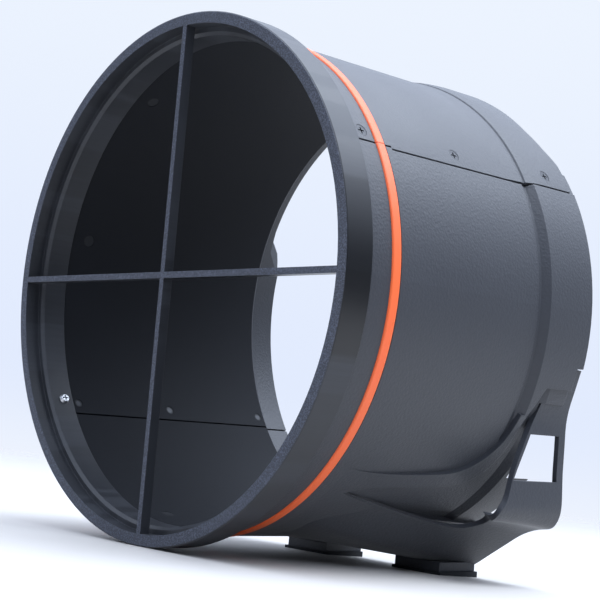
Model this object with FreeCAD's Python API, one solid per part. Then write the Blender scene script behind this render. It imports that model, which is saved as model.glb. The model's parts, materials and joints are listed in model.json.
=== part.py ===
import FreeCAD, Part
import math
import os

from FreeCAD import Vector

# Dew shield with a cross-vane front ring, for an eight inch schmidt cassegrain telescope.
# Millimetres. The parts are drawn round the tube axis: +Y runs to the rear, +X to the right,
# +Z up, and the origin is the centre of the front face. Angles go from +X towards +Z.
# The last step leans the whole assembly so that it rests on its front rim and its two feet.

# ---- front ring and vanes
RIM_R = 125.0            # outside radius of the front ring
RIM_LENGTH = 15.0        # smooth band of the front ring
RIM_MOUTH_R = 119.4      # inside radius of the ring at its front face
RIM_MOUTH_DEPTH = 7.5
SPIGOT_R = 117.9         # the spigot that plugs into the shells
SPIGOT_BORE_R = 115.6
SPIGOT_END = 21.0
VANE_WIDTH = 2.95
VANE_DEPTH = 5.0
RIM_CHAMFER = 0.5

# ---- shell halves
LENGTH = 168.75          # front face to rear edge
BARREL_R = 119.5
BORE_R = 116.4
LAP_R = 118.0            # the outer and inner layers of the lap joints meet here
COLLAR_STEP = 2.3        # the rear collar stands this much further out
STEP_Y = 132.0           # where the collar step begins on the outside
SOFT_STEP_Y = 118.0      # the upper shell starts its softer climb this early
INNER_STEP_Y = 151.5     # where the bore steps out, further back
STEP_RUN = 2.6
GROOVE_DEPTH = 0.9       # shadow groove at the foot of the step
GROOVE_WIDTH = 2.2
SEAM_OUTER = 29.2        # angle of the seam seen outside, and again half a turn on
SEAM_INNER = 35.6        # angle of the tongue's edge inside
STRIP_SHIFT = 0.6        # the seam sits this much higher in front of the trim ring
STRIP_END = 41.0
SEAM_GAP = 0.9
RELIEF_Y = 158.0         # the rear edge is cut back to here, away from the seams
REAR_CHAMFER = 1.8

# ---- coloured trim ring
TRIM_Y = (31.3, 36.6)
TRIM_SEAT_R = 118.7
TRIM_TOP_R = 120.3
TRIM_GROOVE = (31.2, 37.2)
TRIM_GAP = 0.3

# ---- screws and inserts, in line down the middle of each lap
SCREW_ANGLE = 32.4
SCREW_Y = {"front": 25.0, "middle": 84.2, "rear": 147.6}
HEAD_R = 3.05
HEAD_DEPTH = 1.5
SHANK_R = 1.48
CLEARANCE_R = 1.65
INSERT_R = 2.2
INSERT_BORE_R = 1.5
FIT_GAP = 0.05
RING_SCREW_ANGLE = 31.8  # one short screw each side holds the ring, put in from inside
RING_SCREW_Y = 15.9

# ---- grip pads in blind sockets round the bore, given as (angle, distance from the front)
GRIP_PADS = {
    "grip_pad_top_left": (124.4, 31.5),
    "grip_pad_left": (167.7, 31.5),
    "grip_pad_top_right": (75.4, 38.0),
    "grip_pad_bottom_right": (304.4, 31.5),
    "grip_pad_right": (347.7, 31.5),
    "grip_pad_bottom_left": (255.4, 38.0),
}
PAD_R = 3.0
SOCKET_DEPTH = 1.1

# ---- flared scoop at the lower right, and the foot at the lower left
SHEET_THICKNESS = 2.6
FLARE_START_Y = 56.0
SHEET_ROOT_R = 119.2     # the sheets leave from inside the thickness of the barrel wall
MOUTH_ANGLE = -35.0      # the scoop's mouth is cut along this direction
TAB_X = 109.0            # outer face of the flat tab that carries the strap slot
SLOT_Z = (-82.0, -60.0)
FOOT_X = (26.0, 56.8)
FOOT_Y = (142.5, 168.6)
FOOT_TOP_Z = -131.0
STRANDS = 25             # strands that each flared surface is drawn through
TABLE_SLOPE = 0.053      # rise of the rest plane, seen from the tube, per unit length

HALF_TURN = 180.0
FAR = 400.0
AXIS = Vector(0, -1, 0)  # turning about this axis counts angles from +X towards +Z


def turned(shape, angle):
    """A copy of the shape turned round the tube axis."""
    copy = shape.copy()
    copy.rotate(Vector(0, 0, 0), AXIS, angle)
    return copy


def polar(radius, angle, y):
    """The point at a radius and angle round the tube axis."""
    return Vector(radius * math.cos(math.radians(angle)), y, radius * math.sin(math.radians(angle)))


def spun(profile, start=0.0, end=360.0):
    """Solid swept by a closed (radius, y) profile between two angles."""
    points = [Vector(r, y, 0) for r, y in profile]
    face = Part.Face(Part.makePolygon(points + points[:1]))
    return turned(face.revolve(Vector(0, 0, 0), AXIS, end - start), start)


def sector(r_in, r_out, y_from, y_to, start=0.0, end=360.0):
    """Plain tube, or the part of one between two angles."""
    return spun([(r_in, y_from), (r_out, y_from), (r_out, y_to), (r_in, y_to)], start, end)


def radial_rod(radius, r_from, r_to, angle, y, tip_radius=None):
    """Cylinder or cone that points outward from the tube axis."""
    if tip_radius is None:
        rod = Part.makeCylinder(radius, r_to - r_from, Vector(r_from, y, 0), Vector(1, 0, 0))
    else:
        rod = Part.makeCone(radius, tip_radius, r_to - r_from, Vector(r_from, y, 0), Vector(1, 0, 0))
    return turned(rod, angle)


def fused(shapes):
    """One clean solid from several that touch."""
    return shapes[0].multiFuse(shapes[1:]).removeSplitter()


def largest(shape):
    """The main solid of a shape, without the slivers that trimming leaves."""
    return max(shape.Solids, key=lambda solid: solid.Volume)


def box(x_span, y_span, z_span):
    corner = Vector(x_span[0], y_span[0], z_span[0])
    return Part.makeBox(x_span[1] - x_span[0], y_span[1] - y_span[0], z_span[1] - z_span[0], corner)


# ---------------------------------------------------------------- front ring with its cross vanes
def front_ring():
    c = RIM_CHAMFER
    rim = spun([
        (RIM_MOUTH_R, 0), (RIM_R - c, 0), (RIM_R, c), (RIM_R, RIM_LENGTH - c),
        (RIM_R - c, RIM_LENGTH), (SPIGOT_R, RIM_LENGTH), (SPIGOT_R, SPIGOT_END),
        (SPIGOT_BORE_R, SPIGOT_END), (SPIGOT_BORE_R, RIM_MOUTH_DEPTH + 1.5),
        (SPIGOT_BORE_R + 1.5, RIM_MOUTH_DEPTH), (RIM_MOUTH_R, RIM_MOUTH_DEPTH),
    ])
    reach = RIM_MOUTH_R + 2.0
    half = VANE_WIDTH / 2
    upright = box((-half, half), (0, VANE_DEPTH), (-reach, reach))
    level = box((-reach, reach), (0, VANE_DEPTH), (-half, half))
    ring = fused([rim, upright, level])
    for angle in (RING_SCREW_ANGLE, RING_SCREW_ANGLE + HALF_TURN):
        ring = ring.cut(radial_rod(CLEARANCE_R, SPIGOT_BORE_R - 2, SPIGOT_R + 1, angle, RING_SCREW_Y))
    return ring


# ---------------------------------------------------------------- shell halves
def crisp_step():
    """Climb to the collar on the lower shell, out of a shadow groove."""
    groove_y = STEP_Y - GROOVE_WIDTH
    return [
        (BARREL_R, groove_y - GROOVE_DEPTH), (BARREL_R - GROOVE_DEPTH, groove_y),
        (BARREL_R - GROOVE_DEPTH, STEP_Y), (BARREL_R + COLLAR_STEP, STEP_Y + STEP_RUN + GROOVE_DEPTH),
    ]


def soft_step():
    """Climb to the collar on the upper shell, a long slope that ends in a fine line."""
    return [
        (BARREL_R, SOFT_STEP_Y), (BARREL_R + 0.25 * COLLAR_STEP, STEP_Y - 2.5),
        (BARREL_R + 0.15 * COLLAR_STEP, STEP_Y - 1.9), (BARREL_R + 0.15 * COLLAR_STEP, STEP_Y - 1.3),
        (BARREL_R + 0.45 * COLLAR_STEP, STEP_Y - 0.7), (BARREL_R + 0.85 * COLLAR_STEP, STEP_Y + 5.0),
        (BARREL_R + COLLAR_STEP, STEP_Y + 10.0),
    ]


def outer_layer(step):
    """Outer half of the wall thickness, all the way round, with trim seat and collar step."""
    collar_r = BARREL_R + COLLAR_STEP
    seat_r = BARREL_R - 0.9
    return spun([
        (LAP_R, RIM_LENGTH), (BARREL_R, RIM_LENGTH), (BARREL_R, TRIM_GROOVE[0]),
        (seat_r, TRIM_GROOVE[0]), (seat_r, TRIM_GROOVE[1]), (BARREL_R, TRIM_GROOVE[1]),
        *step,
        (collar_r, LENGTH - REAR_CHAMFER), (LAP_R + COLLAR_STEP, LENGTH - 0.2),
        (LAP_R + COLLAR_STEP, STEP_Y + 2 * STEP_RUN), (LAP_R, STEP_Y + STEP_RUN),
    ])


def inner_layer():
    """Inner half of the wall thickness. It starts behind the ring's spigot."""
    step = COLLAR_STEP
    return spun([
        (BORE_R, SPIGOT_END + 0.5), (LAP_R, SPIGOT_END + 0.5), (LAP_R, STEP_Y + STEP_RUN),
        (LAP_R + step, STEP_Y + 2 * STEP_RUN), (LAP_R + step, LENGTH), (BORE_R + step, LENGTH),
        (BORE_R + step, INNER_STEP_Y + STEP_RUN), (BORE_R, INNER_STEP_Y),
    ])


def panel_corner():
    """Volume of the plain lower right panel, whose rear lower corner is swept round."""
    edge = [(1.085, 0.40), (1.078, 0.288), (1.06, 0.146), (1.04, 0.055), (0.975, -0.05),
            (0.904, -0.102), (0.811, -0.124), (0.694, -0.136), (0.529, -0.142), (0.436, -0.137),
            (0.378, -0.124), (0.337, -0.096)]
    return mouth_prism([(0.2, -0.096), (0.2, 0.6), (1.085, 0.6)], edge)


def scoop_hollow():
    """Volume in front of and under the scoop, where the wall drops below the barrel's radius."""
    edge = [(1.15, 0.283), (1.122, 0.221), (1.09, 0.14), (1.075, 0.022), (1.053, -0.067),
            (1.005, -0.141), (0.918, -0.179), (0.819, -0.193), (0.654, -0.206), (0.531, -0.222),
            (0.44, -0.262)]
    prism = mouth_prism([(0.6, -0.31), (0.77, -0.35), (0.9, -0.39), (1.4, -0.45), (1.4, 0.283)], edge)
    low_r = LAP_R + 0.3
    high_r = LAP_R + 2.1
    kept = spun([
        (0.01, -1), (low_r, -1), (low_r, 143), (high_r, 149), (high_r, LENGTH + 20), (0.01, LENGTH + 20),
    ])
    return prism.cut(kept)


def behind_slot():
    """The wall stops short behind the strap slot, so the slot is clear."""
    outline = [(145.6, -55.0), (152.0, -82.0), (175.0, -82.0), (175.0, -27.0), (162.5, -27.0),
               (162.5, -45.0), (145.6, -45.0)]
    points = [Vector(40, y, z) for y, z in outline]
    return Part.Face(Part.makePolygon(points + points[:1])).extrude(Vector(90, 0, 0))


def mouth_prism(straight, curved):
    """Prism across the lower right wall; points are (y, across) in units of the rim radius."""
    across = Vector(-math.sin(math.radians(MOUTH_ANGLE)), 0, math.cos(math.radians(MOUTH_ANGLE)))
    out = polar(1, MOUTH_ANGLE, 0)

    def place(pair):
        return out * (0.5 * RIM_R) + Vector(0, pair[0] * RIM_R, 0) + across * (pair[1] * RIM_R)

    curve = Part.BSplineCurve()
    curve.interpolate([place(pair) for pair in curved])
    lines = Part.makePolygon([place(curved[-1])] + [place(p) for p in straight] + [place(curved[0])])
    face = Part.Face(Part.Wire([curve.toShape()] + lines.Edges))
    return face.extrude(out * RIM_R)


def raised_ground():
    """Ground that climbs from the barrel to the collar outside the swept panel corner."""
    collar_r = BARREL_R + COLLAR_STEP
    wedge = spun([
        (LAP_R, 45.0), (BARREL_R, 45.0), (collar_r, 107.0),
        (collar_r, STEP_Y + STEP_RUN + 2), (LAP_R, STEP_Y + STEP_RUN),
    ], -72.0, -25.0)
    return wedge.cut(panel_corner())


def rear_relief():
    """Shallow cut-back of the rear edge over the top."""
    outline = [(-118.6, 171.0), (-116.5, 168.0), (-113.2, RELIEF_Y + 1.2), (-108.5, RELIEF_Y),
               (80.0, RELIEF_Y), (90.0, 160.6), (96.8, 164.4), (106.8, 164.4), (106.8, 171.0)]
    points = [Vector(x, y, 26.0) for x, y in outline]
    return Part.Face(Part.makePolygon(points + points[:1])).extrude(Vector(0, 0, FAR))


def seam_wedge(seam, layer_reach):
    """Half of all space between the two seams of one layer, kept back by the seam gap."""
    gap = math.degrees(SEAM_GAP / 2 / BARREL_R)
    shift = STRIP_SHIFT if layer_reach == "outer" else 0.0
    strip = sector(40, 200, -1, STRIP_END, seam + shift + gap, seam + shift + HALF_TURN - gap)
    rest = sector(40, 200, STRIP_END, LENGTH + 5, seam + gap, seam + HALF_TURN - gap)
    return strip.fuse(rest)


def plain_half(turn, outer):
    """One half shell before its flares: both wall layers, lapped at the seams."""
    outer = outer.common(turned(seam_wedge(SEAM_OUTER, "outer"), turn))
    inner = inner_layer().common(turned(seam_wedge(SEAM_INNER, "inner"), turn))
    return outer.fuse(inner)


# ---------------------------------------------------------------- flared sheets
def strands(rear_path, start, end, tab_share):
    """Grid of points over a flare's outer face, from an arc on the barrel to an open rear path.

    rear_path holds (x, z) in units of the rim radius. The first tab_share of it swings out early
    and then runs straight, and the rest climbs steadily to the rear.
    """
    curve = Part.BSplineCurve()
    curve.interpolate([Vector(x * RIM_R, 0, z * RIM_R) for x, z in rear_path])
    ends = curve.toShape().discretize(Number=STRANDS)
    steps = 14
    grid = []
    for i, rear in enumerate(ends):
        share = i / (len(ends) - 1)
        root = polar(SHEET_ROOT_R, start + share * (end - start), 0)
        climb = min(1.0, max(0.0, (share - tab_share) / 0.14))
        lateness = 1.6 - 0.8 * min(1.0, max(0.0, (share - 0.66) / 0.12))
        strand = []
        for j in range(steps + 1):
            t = j / steps
            early = min(1.0, t / 0.6)
            early = early * early * (3 - 2 * early)
            blend = (1 - climb) * early + climb * t ** lateness
            y = FLARE_START_Y + t * (LENGTH + 3.0 - FLARE_START_Y)
            strand.append(root + (rear - root) * blend + Vector(0, y, 0))
        grid.append(strand)
    return grid


def set_in(grid, depth):
    """The same grid moved along its own normals."""
    last_i = len(grid) - 1
    last_j = len(grid[0]) - 1
    moved = []
    for i, strand in enumerate(grid):
        line = []
        for j, point in enumerate(strand):
            across = grid[min(i + 1, last_i)][j] - grid[max(i - 1, 0)][j]
            along = strand[min(j + 1, last_j)] - strand[max(j - 1, 0)]
            line.append(point + along.cross(across).normalize() * depth)
        moved.append(line)
    return moved


def flared_sheet(rear_path, start, end, tab_share):
    """Curved sheet of even thickness under the grid of strands, trimmed at the rear edge."""
    grid = strands(rear_path, start, end, tab_share)
    depth = math.copysign(SHEET_THICKNESS, start - end)
    faces = []
    edges = []
    for points in (grid, set_in(grid, depth)):
        surface = Part.BSplineSurface()
        surface.interpolate(points)
        u_low, u_high, v_low, v_high = surface.bounds()
        faces.append(surface.toShape())
        edges.append([surface.uIso(u_low), surface.uIso(u_high), surface.vIso(v_low), surface.vIso(v_high)])
    for outer, inner in zip(*edges):
        faces.append(Part.makeRuledSurface(outer.toShape(), inner.toShape()))
    shell = Part.makeShell(faces)
    shell.sewShape(0.01)
    sheet = Part.makeSolid(shell)
    if sheet.Volume < 0:
        sheet.reverse()
    return sheet.common(box((-FAR, FAR), (0, LENGTH), (-FAR, FAR)))


def right_scoop():
    """The lower right flare: flat slotted tab, rounded corner, funnel and foot, open at its mouth."""
    tab_x = TAB_X / RIM_R
    path = [(0.93, -0.222), (0.90, -0.315), (tab_x + 0.003, -0.41), (tab_x, -0.52), (tab_x, -0.65),
            (tab_x, -0.775), (0.848, -0.828), (0.79, -0.848), (0.70, -0.878), (0.60, -0.938),
            (0.50, -0.998), (0.435, -1.033), (0.34, -1.042), (0.265, -1.034), (0.218, -1.004),
            (0.20, -0.955)]
    mouth = [(0.45, -0.26), (0.63, -0.307), (0.82, -0.35), (0.96, -0.371), (1.06, -0.374),
             (1.13, -0.35), (1.158, -0.307), (1.13, -0.262), (1.05, -0.215), (0.99, -0.175),
             (0.988, -0.142), (1.018, -0.105), (1.043, -0.055), (1.088, 0.045), (1.153, 0.158),
             (1.18, 0.30)]
    sheet = flared_sheet(path, -13.0, -78.2, 0.43)
    sheet = sheet.cut(mouth_prism([(1.18, 0.50), (0.30, 0.50), (0.30, -0.255)], mouth))
    low, high = SLOT_Z
    corners = [(142.5, high), (164.0, high), (164.0, low), (132.0, low)]
    points = [Vector(80, y, z) for y, z in corners]
    slot = Part.Face(Part.makePolygon(points + points[:1])).extrude(Vector(60, 0, 0))
    return sheet.cut(slot)


def left_foot_flare():
    """The lower left flare, which only carries the second foot."""
    path = [(-0.60, -0.766), (-0.60, -0.82), (-0.57, -0.90), (-0.52, -0.975), (-0.45, -1.025),
            (-0.36, -1.042), (-0.265, -1.034), (-0.218, -1.004), (-0.20, -0.955)]
    return flared_sheet(path, -128.5, -101.8, -0.2)


def foot_block(side):
    """Flat seat between the flare and its foot pad."""
    x_span = sorted((side * FOOT_X[0], side * FOOT_X[1]))
    return box(x_span, (FOOT_Y[0], FOOT_Y[1]), (FOOT_TOP_Z, FOOT_TOP_Z + 4.5))


def foot_pad(side):
    """Thin pad under a foot, worked flush with the plane that the shield rests on."""
    x_span = sorted((side * (FOOT_X[0] - 1.0), side * (FOOT_X[1] + 1.6)))
    pad = box(x_span, (FOOT_Y[0] - 1.0, FOOT_Y[1] + 0.6), (FOOT_TOP_Z - 12, FOOT_TOP_Z - FIT_GAP))
    below = box((-FAR, FAR), (-FAR, FAR), (-FAR, 0))
    below.rotate(Vector(0, 0, 0), Vector(1, 0, 0), -math.degrees(math.atan(TABLE_SLOPE)))
    below.translate(Vector(0, 0, -RIM_R))
    return pad.cut(below)


# ---------------------------------------------------------------- small parts
def cross_recess(top, y, up):
    """Two crossed slots in a screw head whose face is at radius top."""
    span = sorted((top - up * 1.0, top + up * 1.0))
    return [box(span, (y - 1.7, y + 1.7), (-0.35, 0.35)), box(span, (y - 0.35, y + 0.35), (-1.7, 1.7))]


def screw(angle, y, surface_r, tip_r):
    """Countersunk screw with a cross recess, its head just below the surface."""
    top = surface_r - 0.15
    head = radial_rod(SHANK_R, top - HEAD_DEPTH, top, 0, y, HEAD_R - FIT_GAP)
    shank = radial_rod(SHANK_R, tip_r, top - HEAD_DEPTH + 0.1, 0, y)
    return turned(head.fuse(shank).removeSplitter().cut(cross_recess(top, y, 1)), angle)


def screw_hole(angle, y, surface_r):
    """Countersink and clearance through the outer layer, and the insert's seat further in."""
    top = surface_r - 0.15
    return [
        radial_rod(SHANK_R, top - HEAD_DEPTH, top, angle, y, HEAD_R),
        radial_rod(HEAD_R, top, top + 5, angle, y),
        radial_rod(CLEARANCE_R, surface_r - 2.5, top, angle, y),
        radial_rod(INSERT_R, BORE_R - 4, surface_r - 1.5, angle, y),
    ]


def insert(angle, y, surface_r):
    """Threaded insert in the inner layer, sunk a little below the bore."""
    body = radial_rod(INSERT_R - 0.02, BORE_R + 0.2, surface_r - 1.55, angle, y)
    return body.cut(radial_rod(INSERT_BORE_R, BORE_R - 2, surface_r, angle, y))


def ring_screw(angle):
    """Short round-head screw from inside, through the spigot into the front strip of a shell."""
    face = SPIGOT_BORE_R - 1.5
    head = radial_rod(2.0, face, SPIGOT_BORE_R - 0.02, 0, RING_SCREW_Y, 2.7)
    shank = radial_rod(SHANK_R, SPIGOT_BORE_R - 0.1, BARREL_R - 0.6, 0, RING_SCREW_Y)
    return turned(head.fuse(shank).removeSplitter().cut(cross_recess(face, RING_SCREW_Y, -1)), angle)


def trim_half(start, end):
    """Half of the coloured trim ring, with a rounded top."""
    low, high = TRIM_Y
    gap = math.degrees(TRIM_GAP / 2 / BARREL_R)
    round_off = 0.8
    return spun([
        (TRIM_SEAT_R, low), (TRIM_TOP_R - round_off, low), (TRIM_TOP_R - 0.25, low + 0.3),
        (TRIM_TOP_R, low + round_off), (TRIM_TOP_R, high - round_off), (TRIM_TOP_R - 0.25, high - 0.3),
        (TRIM_TOP_R - round_off, high), (TRIM_SEAT_R, high),
    ], start + gap, end - gap)


def grip_pad(angle, y):
    return radial_rod(PAD_R, BORE_R + 0.15, BORE_R + SOCKET_DEPTH - FIT_GAP, angle, y)


def surface_radius(position):
    return BARREL_R + (COLLAR_STEP if position == "rear" else 0.0)


# ---------------------------------------------------------------- assembly
def all_parts():
    parts = {"front_ring_with_vanes": front_ring()}
    holes = []
    for side, turn in (("right", 0.0), ("left", HALF_TURN)):
        for position, y in SCREW_Y.items():
            angle = SCREW_ANGLE + turn
            surface_r = surface_radius(position)
            parts[side + "_screw_" + position] = screw(angle, y, surface_r, BORE_R + 0.3)
            parts[side + "_insert_" + position] = insert(angle, y, surface_r)
            holes += screw_hole(angle, y, surface_r)
        ring_angle = RING_SCREW_ANGLE + turn
        parts[side + "_ring_screw"] = ring_screw(ring_angle)
        holes.append(radial_rod(SHANK_R + 0.02, LAP_R - 1, BARREL_R - 0.55, ring_angle, RING_SCREW_Y))
    for name, (angle, y) in GRIP_PADS.items():
        parts[name] = grip_pad(angle, y)
        holes.append(radial_rod(PAD_R + FIT_GAP, BORE_R - 3, BORE_R + SOCKET_DEPTH, angle, y))

    upper = plain_half(0.0, outer_layer(soft_step())).cut(rear_relief())
    grounded = outer_layer(crisp_step()).fuse(raised_ground())
    lower = plain_half(HALF_TURN, grounded).cut([scoop_hollow(), behind_slot()])
    flares = [right_scoop(), left_foot_flare(), foot_block(1), foot_block(-1)]
    parts["upper_half_shell"] = largest(upper.cut(holes))
    parts["lower_half_shell"] = largest(lower.multiFuse(flares).cut(holes))
    parts["trim_ring_upper"] = trim_half(SEAM_OUTER + STRIP_SHIFT, SEAM_OUTER + STRIP_SHIFT + HALF_TURN)
    parts["trim_ring_lower"] = turned(parts["trim_ring_upper"], HALF_TURN)
    parts["foot_pad_right"] = foot_pad(1)
    parts["foot_pad_left"] = foot_pad(-1)
    return parts


def stood(shape):
    """The shape leaned onto the rest plane and set down at height zero."""
    lean = math.atan(TABLE_SLOPE)
    heel = Vector(0, FOOT_Y[1] + 0.6, RIM_R + TABLE_SLOPE * (FOOT_Y[1] + 0.6))
    rear = heel.y * math.cos(lean) + heel.z * math.sin(lean)
    middle = (rear - RIM_R * math.sin(lean)) / 2
    copy = shape.copy()
    copy.rotate(Vector(0, 0, 0), Vector(1, 0, 0), math.degrees(lean))
    copy.translate(Vector(0, -middle, RIM_R * math.cos(lean)))
    return copy


os.makedirs("parts", exist_ok=True)
for node, solid in all_parts().items():
    stood(solid).exportStep("parts/" + node + ".step")
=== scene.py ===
import json
import math

import bpy
from mathutils import Matrix, Vector


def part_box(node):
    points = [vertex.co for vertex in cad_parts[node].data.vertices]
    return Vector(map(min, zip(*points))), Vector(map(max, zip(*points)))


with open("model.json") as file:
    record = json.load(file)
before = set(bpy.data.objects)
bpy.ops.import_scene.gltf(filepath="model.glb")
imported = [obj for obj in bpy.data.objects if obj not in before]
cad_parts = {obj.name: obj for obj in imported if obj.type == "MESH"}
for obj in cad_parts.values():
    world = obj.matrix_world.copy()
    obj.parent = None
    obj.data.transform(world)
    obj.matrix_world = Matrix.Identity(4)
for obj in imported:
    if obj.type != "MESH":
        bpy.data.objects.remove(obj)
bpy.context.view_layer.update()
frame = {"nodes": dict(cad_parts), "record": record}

# The tube axis leans nose down by this much. All sizes are in metres.
LEAN = math.atan(0.053)
RING_R = 0.125
AXIS_HEIGHT = RING_R * math.cos(LEAN)  # height of the axis at the front face
FRONT_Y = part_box("front_ring_with_vanes")[0].y + RING_R * math.sin(LEAN)
# Across these radii the colour also changes from the bore's painted shade to the outside's own
# mottled black.
LAP_R = (0.1172, 0.1178)  # the bore's dull skin gives way to the fuzzy outside between these radii
FRONT_SKIN = (0.00002, 0.00025)  # depth over which the plate texture of the front face ends
LAYER_HEIGHT = 0.0004  # printed layers
# The band's darker colour within these angles is a painted reflection; its lower roughness is real.
SMOOTH_DARK_REFLECTION_ZONE = (-0.30, 0.34)  # angles between which the ring's band is darker and smoother

# Colours are linear RGBA.
SHELL_BLACK = (0.0165, 0.0195, 0.0275)
BAND_DIM = (0.016, 0.0175, 0.021, 1.0)
BAND_LIT = (0.046, 0.050, 0.060, 1.0)
BAND_PAINTED_REFLECTION_DARK = (0.007, 0.0075, 0.009, 1.0)
PLATE_DARK = (0.022, 0.025, 0.034, 1.0)
PLATE_LIGHT = (0.085, 0.096, 0.130, 1.0)
TRIM_DEEP = (0.86, 0.115, 0.022, 1.0)
TRIM_BRIGHT = (0.98, 0.17, 0.045, 1.0)
RUBBER_DARK = (0.010, 0.011, 0.013, 1.0)
RUBBER_LIGHT = (0.022, 0.024, 0.028, 1.0)
TABLE_DARK = (0.57, 0.54, 0.50, 1.0)
TABLE_LIGHT = (0.59, 0.56, 0.52, 1.0)
SKY_LIGHT = (0.72, 0.81, 1.0, 1.0)
BACKDROP_LOW = (0.93, 0.96, 1.0, 1.0)
BACKDROP_MIDDLE = (0.76, 0.83, 0.99, 1.0)
BACKDROP_HIGH = (0.84, 0.90, 1.0, 1.0)

# The table, the light and the camera.
TABLE_HALF = 6.0
TABLE_FADE = (0.7, 4.0)  # distances between which the table fades out
OVERHEAD_STRENGTH = 2.25
BEHIND_STRENGTH = 1.5
AMBIENT_STRENGTH = 0.06
BEHIND_DIRECTION = (-0.74, 0.67, 0.0)
LAMP_POS = Vector((0.35, 0.30, 1.3))
LAMP_SIZE = 1.2
LAMP_POWER = 24.0
LAMP_COLOUR = (0.80, 0.88, 1.0)
CAMERA_POS = Vector((0.5411, -0.4688, 0.0435))
CAMERA_AZIMUTH = 47.66
CAMERA_ELEVATION = -7.83
CAMERA_ROLL = 6.83
CAMERA_LENS = 85.47
CAMERA_SHIFT = (-0.06, -0.04)


# ---------------------------------------------------------------- node helpers
class Graph:
    """Short way to build a node tree: each call adds one node and returns its first output."""

    def __init__(self, tree):
        self.tree = tree
        tree.nodes.clear()

    def add(self, kind, **settings):
        node = self.tree.nodes.new(kind)
        for key, value in settings.items():
            setattr(node, key, value)
        return node

    def plug(self, socket, value):
        if isinstance(value, bpy.types.NodeSocket):
            self.tree.links.new(value, socket)
        else:
            socket.default_value = value

    def math(self, operation, *values, clamp=False):
        node = self.add("ShaderNodeMath", operation=operation, use_clamp=clamp)
        for socket, value in zip(node.inputs, values):
            self.plug(socket, value)
        return node.outputs[0]

    def vector_math(self, operation, *values):
        node = self.add("ShaderNodeVectorMath", operation=operation)
        for socket, value in zip(node.inputs, values):
            self.plug(socket, value)
        return node.outputs[0]

    def combine(self, x, y, z):
        node = self.add("ShaderNodeCombineXYZ")
        for socket, value in zip(node.inputs, (x, y, z)):
            self.plug(socket, value)
        return node.outputs[0]

    def ramp_between(self, value, low, high, out_low=0.0, out_high=1.0):
        node = self.add("ShaderNodeMapRange", interpolation_type="SMOOTHSTEP")
        for socket, item in zip(node.inputs, (value, low, high, out_low, out_high)):
            self.plug(socket, item)
        return node.outputs[0]

    def noise(self, coords, scale, detail=3.0, roughness=0.5):
        node = self.add("ShaderNodeTexNoise")
        self.plug(node.inputs["Vector"], coords)
        self.plug(node.inputs["Scale"], scale)
        self.plug(node.inputs["Detail"], detail)
        self.plug(node.inputs["Roughness"], roughness)
        return node.outputs[0]

    def cells(self, coords, scale, feature="F1"):
        node = self.add("ShaderNodeTexVoronoi", feature=feature)
        self.plug(node.inputs["Vector"], coords)
        self.plug(node.inputs["Scale"], scale)
        return node.outputs["Distance"]

    def mix(self, share, first, second):
        node = self.add("ShaderNodeMix", data_type="RGBA")
        self.plug(node.inputs["Factor"], share)
        self.plug(node.inputs["A"], first)
        self.plug(node.inputs["B"], second)
        return node.outputs["Result"]

    def blend(self, share, first, second):
        node = self.add("ShaderNodeMix", data_type="FLOAT")
        self.plug(node.inputs["Factor"], share)
        self.plug(node.inputs["A"], first)
        self.plug(node.inputs["B"], second)
        return node.outputs["Result"]

    def bump(self, height, strength, distance, normal=None):
        node = self.add("ShaderNodeBump")
        self.plug(node.inputs["Height"], height)
        self.plug(node.inputs["Strength"], strength)
        self.plug(node.inputs["Distance"], distance)
        if normal is not None:
            self.plug(node.inputs["Normal"], normal)
        return node.outputs[0]

    def soft_edge(self, radius):
        node = self.add("ShaderNodeBevel", samples=4)
        node.inputs["Radius"].default_value = radius
        return node.outputs[0]


def new_material(name):
    material = bpy.data.materials.new(name)
    material.use_nodes = True
    return material, Graph(material.node_tree)


def surface(graph, colour, roughness, normal, **settings):
    """Ends a material: a principled shader with its colour, roughness and normal, and set values."""
    shader = graph.add("ShaderNodeBsdfPrincipled")
    graph.plug(shader.inputs["Base Color"], colour)
    graph.plug(shader.inputs["Roughness"], roughness)
    graph.plug(shader.inputs["Normal"], normal)
    for key, value in settings.items():
        shader.inputs[key.replace("_", " ")].default_value = value
    output = graph.add("ShaderNodeOutputMaterial")
    graph.tree.links.new(shader.outputs[0], output.inputs[0])
    return shader


def shaded(colour, share):
    """The colour made darker or lighter by a share, as RGBA."""
    return tuple(share * channel for channel in colour) + (1.0,)


def tube_coordinates(graph):
    """Position round the tube axis: the point, its distance behind the front face, radius, angle."""
    position = graph.add("ShaderNodeTexCoord").outputs["Object"]
    split = graph.add("ShaderNodeSeparateXYZ")
    graph.plug(split.inputs[0], position)
    y = graph.math("SUBTRACT", split.outputs[1], FRONT_Y)
    z = graph.math("SUBTRACT", split.outputs[2], AXIS_HEIGHT)
    along = graph.math("ADD", graph.math("MULTIPLY", y, math.cos(LEAN)),
                       graph.math("MULTIPLY", z, math.sin(LEAN)))
    up = graph.math("SUBTRACT", graph.math("MULTIPLY", z, math.cos(LEAN)),
                    graph.math("MULTIPLY", y, math.sin(LEAN)))
    across = graph.math("MULTIPLY", split.outputs[0], split.outputs[0])
    radius = graph.math("SQRT", graph.math("ADD", across, graph.math("MULTIPLY", up, up)))
    angle = graph.math("ARCTAN2", up, split.outputs[0])
    return position, along, radius, angle


def layer_lines(graph, along):
    """A wave that rises and falls once for each printed layer."""
    return graph.math("SINE", graph.math("MULTIPLY", along, 2 * math.pi / LAYER_HEIGHT))


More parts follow.
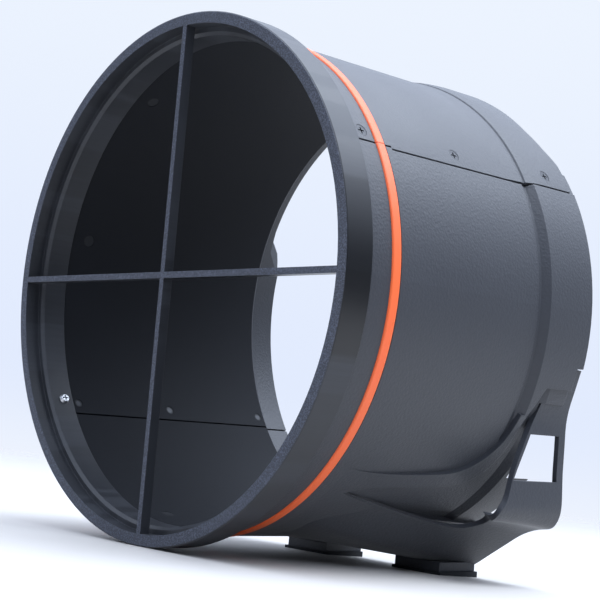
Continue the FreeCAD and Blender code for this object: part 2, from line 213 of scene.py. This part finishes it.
# ---------------------------------------------------------------- materials
def shell_plastic():
    """Printed plastic with a fuzzy, leather-like skin outside, and a dull bore darkened with painted
    shade.
    """
    material, g = new_material("shell_plastic")
    position, along, radius, _ = tube_coordinates(g)
    outside = g.ramp_between(radius, *LAP_R)
    grain = g.noise(position, 620.0, 4.0, 0.62)
    pebbles = g.cells(position, 780.0)
    slow = g.noise(position, 26.0, 3.0, 0.5)
    layers = layer_lines(g, along)
    skin = g.math("ADD", g.math("MULTIPLY", grain, 0.65), g.math("MULTIPLY", pebbles, 0.5))
    height = g.math("ADD", g.math("MULTIPLY", skin, outside),
                    g.math("MULTIPLY", layers, g.blend(outside, 0.16, 0.05)))
    normal = g.bump(height, 0.42, 0.00035, g.soft_edge(0.00045))
    mottle = g.math("ADD", g.math("MULTIPLY", grain, 0.7), g.math("MULTIPLY", slow, 0.3))
    skin_colour = g.mix(mottle, shaded(SHELL_BLACK, 0.62), shaded(SHELL_BLACK, 1.35))
    # The bore takes the shell black at 0.40: painted shade inside the tube.
    colour = g.mix(outside, shaded(SHELL_BLACK, 0.40), skin_colour)
    roughness = g.blend(outside, 0.72, g.blend(slow, 0.46, 0.58))
    shader = surface(g, colour, roughness, normal, Sheen_Roughness=0.5)
    g.plug(shader.inputs["Specular IOR Level"], g.blend(outside, 0.22, 0.62))
    g.plug(shader.inputs["Sheen Weight"], g.blend(outside, 0.0, 0.12))
    return material


def ring_plastic():
    """The ring: a speckled plate texture on what faces the front, a smooth outside banded with
    painted reflection.
    """
    material, g = new_material("ring_plastic")
    position, along, _, angle = tube_coordinates(g)
    front = g.math("SUBTRACT", 1.0, g.ramp_between(along, *FRONT_SKIN))
    speckle = g.cells(position, 1500.0)
    grain = g.noise(position, 1800.0, 3.0, 0.75)
    plate = g.math("ADD", g.math("MULTIPLY", speckle, 0.6), g.math("MULTIPLY", grain, 0.7))
    layers = layer_lines(g, along)
    # Straight streaks run across the band, where the nozzle started or slowed down; their shift
    # between dim and lit colour is a painted reflection.
    streak_at = g.combine(g.math("MULTIPLY", angle, 22.0), g.math("MULTIPLY", along, 5.0), 0.0)
    streaks = g.noise(streak_at, 3.0, 8.0, 0.78)
    low, high = SMOOTH_DARK_REFLECTION_ZONE
    past_low = g.ramp_between(angle, low, low + 0.03)
    zone = g.math("MULTIPLY", past_low, g.ramp_between(angle, high, high - 0.03))
    # Narrow dark zones at further angles: painted reflection at a third of the strength.
    wide = g.noise(g.combine(g.math("MULTIPLY", angle, 2.2), 0.0, 0.0), 2.0, 2.0, 0.5)
    sharp = g.ramp_between(wide, 0.47, 0.50)
    gloss_and_painted_reflection = g.math("MAXIMUM", zone, g.math("MULTIPLY", sharp, 0.35))
    band = g.math("ADD", g.math("MULTIPLY", layers, 0.02), g.math("MULTIPLY", streaks, 0.12))
    height = g.blend(front, band, plate)
    normal = g.bump(height, 0.5, 0.0004, g.soft_edge(0.0004))
    # Band colour: painted reflection streaks between dim and lit, and the painted dark reflection
    # zones.
    plain = g.mix(gloss_and_painted_reflection, g.mix(streaks, BAND_DIM, BAND_LIT), BAND_PAINTED_REFLECTION_DARK)
    dots = g.mix(g.ramp_between(plate, 0.42, 0.95), PLATE_DARK, PLATE_LIGHT)
    colour = g.mix(front, plain, dots)
    smooth = g.blend(gloss_and_painted_reflection, g.blend(streaks, 0.42, 0.60), 0.30)
    roughness = g.blend(front, smooth, 0.62)
    surface(g, colour, roughness, normal, Specular_IOR_Level=0.45)
    return material


def trim_plastic():
    """Bright plastic with a soft sheen and faint layer lines."""
    material, g = new_material("trim_plastic")
    position, along, _, _ = tube_coordinates(g)
    grain = g.noise(position, 700.0, 3.0, 0.6)
    slow = g.noise(position, 30.0, 2.0, 0.5)
    layers = layer_lines(g, along)
    height = g.math("ADD", g.math("MULTIPLY", grain, 0.35), g.math("MULTIPLY", layers, 0.25))
    normal = g.bump(height, 0.25, 0.0002, g.soft_edge(0.0003))
    colour = g.mix(slow, TRIM_DEEP, TRIM_BRIGHT)
    surface(g, colour, g.blend(grain, 0.38, 0.52), normal, Specular_IOR_Level=0.5)
    return material


def metal(name, colour_low, colour_high, roughness, metallic):
    """Finely scratched steel between two colours and two roughnesses."""
    material, g = new_material(name)
    position = g.add("ShaderNodeTexCoord").outputs["Object"]
    wear = g.noise(position, 420.0, 4.0, 0.6)
    scratches = g.noise(g.vector_math("MULTIPLY", position, (1.0, 8.0, 1.0)), 900.0, 2.0, 0.6)
    normal = g.bump(scratches, 0.2, 0.0001, g.soft_edge(0.00015))
    colour = g.mix(wear, colour_low + (1.0,), colour_high + (1.0,))
    surface(g, colour, g.blend(scratches, *roughness), normal, Metallic=metallic)
    return material


def rubber():
    """Dull black rubber of the pads."""
    material, g = new_material("pad_rubber")
    position = g.add("ShaderNodeTexCoord").outputs["Object"]
    grain = g.noise(position, 900.0, 3.0, 0.6)
    slow = g.noise(position, 60.0, 2.0, 0.5)
    normal = g.bump(grain, 0.35, 0.0003, g.soft_edge(0.0005))
    colour = g.mix(slow, RUBBER_DARK, RUBBER_LIGHT)
    surface(g, colour, g.blend(grain, 0.66, 0.82), normal, Specular_IOR_Level=0.35)
    return material


def dress_frame():
    """Gives every node of the frame the material of its slot."""
    materials = {
        "ring_plastic": ring_plastic(),
        "shell_plastic": shell_plastic(),
        "trim_plastic": trim_plastic(),
        "screw_steel": metal(
            "screw_steel", (0.014, 0.016, 0.021), (0.030, 0.033, 0.042), (0.38, 0.55), 0.2),
        "ring_screw_steel": metal(
            "ring_screw_steel", (0.55, 0.56, 0.58), (0.72, 0.73, 0.75), (0.22, 0.40), 1.0),
        "insert_steel": metal(
            "insert_steel", (0.010, 0.011, 0.013), (0.026, 0.028, 0.032), (0.45, 0.65), 0.4),
        "pad_rubber": rubber(),
    }
    for part in frame["record"]["subparts"]:
        node = frame["nodes"][part["node"]]
        node.data.materials.clear()
        node.data.materials.append(materials[part["material_slot"]])


# ---------------------------------------------------------------- studio
def studio_floor():
    """A wide pale table that fades into the surroundings far from the object."""
    mesh = bpy.data.meshes.new("studio_floor")
    half = TABLE_HALF
    corners = [(-half, -half, 0), (half, -half, 0), (half, half, 0), (-half, half, 0)]
    mesh.from_pydata(corners, [], [(0, 1, 2, 3)])
    floor = bpy.data.objects.new("studio_floor", mesh)
    bpy.context.scene.collection.objects.link(floor)
    material, g = new_material("studio_floor")
    position = g.add("ShaderNodeTexCoord").outputs["Object"]
    length = g.add("ShaderNodeVectorMath", operation="LENGTH")
    g.plug(length.inputs[0], position)
    mottle = g.noise(position, 30.0, 2.0, 0.5)
    far = g.ramp_between(length.outputs["Value"], *TABLE_FADE)
    white = g.mix(mottle, TABLE_DARK, TABLE_LIGHT)
    diffuse = g.add("ShaderNodeBsdfPrincipled")
    g.plug(diffuse.inputs["Base Color"], white)
    diffuse.inputs["Roughness"].default_value = 0.7
    diffuse.inputs["Specular IOR Level"].default_value = 0.1
    clear = g.add("ShaderNodeBsdfTransparent")
    blend = g.add("ShaderNodeMixShader")
    g.plug(blend.inputs[0], far)
    g.plug(blend.inputs[1], diffuse.outputs[0])
    g.plug(blend.inputs[2], clear.outputs[0])
    output = g.add("ShaderNodeOutputMaterial")
    g.plug(output.inputs[0], blend.outputs[0])
    mesh.materials.append(material)


def studio_light():
    """Cool light from overhead and from behind the object, a pale backdrop, and one soft lamp."""
    world = bpy.data.worlds.new("studio")
    bpy.context.scene.world = world
    world.use_nodes = True
    g = Graph(world.node_tree)
    direction = g.add("ShaderNodeTexCoord").outputs["Generated"]
    split = g.add("ShaderNodeSeparateXYZ")
    g.plug(split.inputs[0], direction)
    overhead = g.ramp_between(split.outputs[2], 0.20, 0.62, 0.0, OVERHEAD_STRENGTH)
    toward = g.add("ShaderNodeVectorMath", operation="DOT_PRODUCT")
    g.plug(toward.inputs[0], direction)
    g.plug(toward.inputs[1], BEHIND_DIRECTION)
    behind = g.ramp_between(toward.outputs["Value"], 0.15, 0.92, 0.0, BEHIND_STRENGTH)
    strength = g.math("ADD", g.math("MAXIMUM", overhead, behind), AMBIENT_STRENGTH)
    light = g.add("ShaderNodeBackground")
    g.plug(light.inputs["Color"], SKY_LIGHT)
    g.plug(light.inputs["Strength"], strength)
    above = g.ramp_between(split.outputs[2], -0.08, 0.06)
    shade = g.mix(above, BACKDROP_LOW, BACKDROP_MIDDLE)
    upper = g.ramp_between(split.outputs[2], 0.04, 0.35)
    backdrop = g.add("ShaderNodeBackground")
    g.plug(backdrop.inputs["Color"], g.mix(upper, shade, BACKDROP_HIGH))
    seen = g.add("ShaderNodeMixShader")
    g.plug(seen.inputs[0], g.add("ShaderNodeLightPath").outputs["Is Camera Ray"])
    g.plug(seen.inputs[1], light.outputs[0])
    g.plug(seen.inputs[2], backdrop.outputs[0])
    output = g.add("ShaderNodeOutputWorld")
    g.plug(output.inputs[0], seen.outputs[0])
    soft_lamp()


def soft_lamp():
    """A large square lamp above and behind, aimed at the middle of the shield."""
    data = bpy.data.lights.new("lamp_above", "AREA")
    data.size = LAMP_SIZE
    data.energy = LAMP_POWER
    data.color = LAMP_COLOUR
    lamp = bpy.data.objects.new("lamp_above", data)
    bpy.context.scene.collection.objects.link(lamp)
    lamp.location = LAMP_POS
    aim = Vector((0.0, 0.0, AXIS_HEIGHT)) - LAMP_POS
    lamp.rotation_euler = aim.to_track_quat("-Z", "Y").to_euler()


def camera():
    """The camera at a low three-quarter view from the front right, rolled a little."""
    azimuth, elevation = math.radians(CAMERA_AZIMUTH), math.radians(CAMERA_ELEVATION)
    back = Vector((math.sin(azimuth) * math.cos(elevation), -math.cos(azimuth) * math.cos(elevation),
                   math.sin(elevation)))
    data = bpy.data.cameras.new("camera")
    data.sensor_width = 36.0
    data.lens = CAMERA_LENS
    data.shift_x, data.shift_y = CAMERA_SHIFT
    data.clip_start = 0.02
    eye = bpy.data.objects.new("camera", data)
    bpy.context.scene.collection.objects.link(eye)
    upright = (-back).to_track_quat("-Z", "Y").to_matrix().to_4x4()
    roll = Matrix.Rotation(math.radians(CAMERA_ROLL), 4, "Z")
    eye.matrix_world = Matrix.Translation(CAMERA_POS) @ upright @ roll
    bpy.context.scene.camera = eye


dress_frame()
studio_floor()
studio_light()
camera()
bpy.context.scene.view_settings.view_transform = "Standard"
